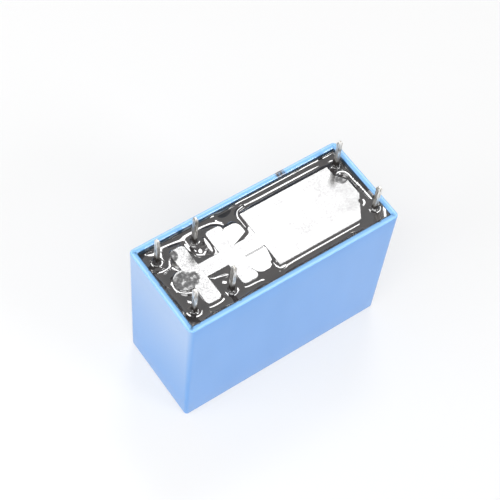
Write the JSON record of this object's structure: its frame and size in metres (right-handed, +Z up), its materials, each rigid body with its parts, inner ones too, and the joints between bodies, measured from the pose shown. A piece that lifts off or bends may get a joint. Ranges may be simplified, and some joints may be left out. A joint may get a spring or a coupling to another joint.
{
  "type": "pcb power relay",
  "caption": "Sealed light blue printed-circuit relay on its closed end, pins up: recessed resin-sealed base, hinged armature and coupled contact springs inside",
  "frame": {"origin": "centre of the closed end of the case, where it rests on the floor", "axes": "X along the case from the contact end to the coil end, Y across the two rows of pins, Z up through the pins"},
  "size_m": [0.0288, 0.0126, 0.0249],
  "materials": {
    "case_blue": "satin moulded light blue",
    "base_black": "glossy moulded black",
    "resin_dark": "glossy cured resin, near black",
    "tinned": "hot-tinned, slightly uneven",
    "bobbin_natural": "natural moulded",
    "copper": "enamelled wire",
    "tape_amber": "adhesive film",
    "iron": "nickel-plated soft iron",
    "spring_bronze": "rolled spring bronze",
    "actuator_white": "moulded off-white",
    "rivet_brass": "plain",
    "contact_silver": "silver alloy"
  },
  "bodies": {
    "frame": {"cover": "case_blue", "base": "base_black", "sealing_resin": "resin_dark", "no_terminal_1": "tinned", "no_terminal_2": "tinned", "com_terminal_1": "tinned", "com_terminal_2": "tinned", "coil_pin_1": "tinned", "coil_pin_2": "tinned", "bobbin": "bobbin_natural", "coil_winding": "copper", "coil_tape": "tape_amber", "coil_lead_1": "copper", "coil_lead_2": "copper", "core": "iron", "yoke": "iron", "hinge_spring": "spring_bronze", "spring_rivet_1": "rivet_brass", "spring_rivet_2": "rivet_brass", "fixed_contact_1": "contact_silver", "fixed_contact_2": "contact_silver"},
    "armature": {"armature": "iron", "actuator": "actuator_white"},
    "contact_spring_1": {"contact_spring_1": "spring_bronze", "moving_contact_1": "contact_silver"},
    "contact_spring_2": {"contact_spring_2": "spring_bronze", "moving_contact_2": "contact_silver"}
  },
  "joints": [
    {"name": "armature_hinge", "type": "hinge", "parent": "frame", "child": "armature", "pos_m": [-0.001, 0, 0.0042], "axis": [0, -1, 0], "range_deg": [0, 5], "stiffness_Nm_per_rad": 0.01, "springref_deg": -5.73, "deforming": ["hinge_spring"]},
    {"name": "contact_spring_1_flex", "type": "hinge", "parent": "frame", "child": "contact_spring_1", "pos_m": [-0.00758, -0.0033, 0.0138], "axis": [0, 1, 0], "range_deg": [0, 6], "deforming": ["contact_spring_1"]},
    {"name": "contact_spring_2_flex", "type": "hinge", "parent": "frame", "child": "contact_spring_2", "pos_m": [-0.00758, 0.0033, 0.0138], "axis": [0, 1, 0], "range_deg": [0, 6], "deforming": ["contact_spring_2"]}
  ],
  "couplings": [
    {"joint": "contact_spring_1_flex", "follows": "armature_hinge", "ratio": 1.178},
    {"joint": "contact_spring_2_flex", "follows": "armature_hinge", "ratio": 1.178}
  ]
}
